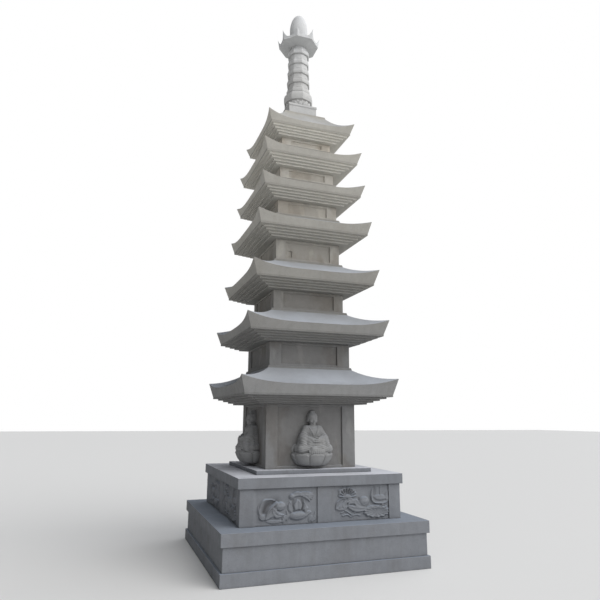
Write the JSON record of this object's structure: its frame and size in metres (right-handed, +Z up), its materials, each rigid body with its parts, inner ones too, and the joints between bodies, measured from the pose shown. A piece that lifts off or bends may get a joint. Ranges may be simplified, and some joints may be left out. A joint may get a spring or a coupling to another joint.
{
  "type": "stone pagoda",
  "caption": "Square stone pagoda with stepped cornices and upturned eaves on a panelled base, seated figures on the lowest storey, and a ringed spire with an egg-shaped jewel.",
  "frame": {"origin": "centre of the foot slab's underside, on the ground", "axes": "+Z up, -Y towards the front that faces the viewer, +X to the viewer's right"},
  "size_m": [2.34, 2.34, 7.56],
  "materials": {
    "granite_base": "fine-pointed grey granite, weathered",
    "granite_wall": "fine-pointed grey granite, warm where sheltered",
    "granite_roof": "honed grey granite, paler on top",
    "granite_figure": "carved and rubbed grey granite",
    "granite_spire": "turned pale grey granite"
  },
  "bodies": {
    "root": {"foot_slab": "granite_base", "lower_plinth": "granite_base", "lower_cap_slab": "granite_base", "pedestal_cap": "granite_base", "step_plinth": "granite_base", "pedestal_left_slab_front": "granite_base", "pedestal_right_slab_front": "granite_base", "pedestal_left_slab_right": "granite_base", "pedestal_right_slab_right": "granite_base", "pedestal_left_slab_back": "granite_base", "pedestal_right_slab_back": "granite_base", "pedestal_left_slab_left": "granite_base", "pedestal_right_slab_left": "granite_base", "storey_1_wall_front": "granite_wall", "storey_1_wall_right": "granite_wall", "storey_1_wall_back": "granite_wall", "storey_1_wall_left": "granite_wall", "storey_2_wall_front": "granite_wall", "storey_2_wall_right": "granite_wall", "storey_2_wall_back": "granite_wall", "storey_2_wall_left": "granite_wall", "storey_3_block": "granite_wall", "storey_4_block": "granite_wall", "storey_5_block": "granite_wall", "storey_6_block": "granite_wall", "storey_7_block": "granite_wall", "roof_1": "granite_roof", "roof_2": "granite_roof", "roof_3": "granite_roof", "roof_4": "granite_roof", "roof_5": "granite_roof", "roof_6": "granite_roof", "roof_7": "granite_roof", "seated_figure_front": "granite_figure", "seated_figure_right": "granite_figure", "seated_figure_back": "granite_figure", "seated_figure_left": "granite_figure", "spire_block": "granite_spire", "spire_lotus_bowl": "granite_spire", "spire_ring_1": "granite_spire", "spire_ring_2": "granite_spire", "spire_ring_3": "granite_spire", "spire_ring_4": "granite_spire", "spire_canopy": "granite_spire", "spire_jewel": "granite_spire"}
  },
  "joints": []
}
